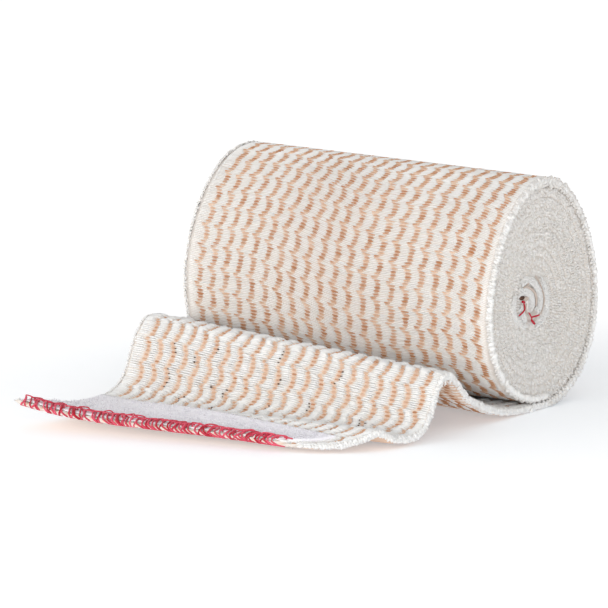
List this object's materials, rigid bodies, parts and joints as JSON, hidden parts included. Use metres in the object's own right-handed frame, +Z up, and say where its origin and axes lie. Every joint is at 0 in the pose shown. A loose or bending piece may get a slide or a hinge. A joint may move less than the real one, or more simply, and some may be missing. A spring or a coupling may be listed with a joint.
{
  "type": "elastic bandage roll",
  "caption": "Knitted elastic bandage wound into a soft roll that lies on its side, its free end humped in front of the roll and lying flat with a hook closure patch near the hem.",
  "frame": {"origin": "on the floor under the middle of the roll, on the flat underside of the band where it leaves the winding", "axes": "+X along the band's width to the roll's narrower end, the free end points to -Y, +Z up"},
  "size_m": [0.0762, 0.1074, 0.0533],
  "materials": {
    "band_roll": "white knit with peach lengthwise stripes",
    "band_tail": "white ribbed knit with peach lengthwise stripes",
    "hook_patch": "pale lavender hook tape"
  },
  "bodies": {
    "root": {"band_roll": "band_roll", "band_tail": "band_tail", "hook_patch": "hook_patch"}
  },
  "joints": []
}
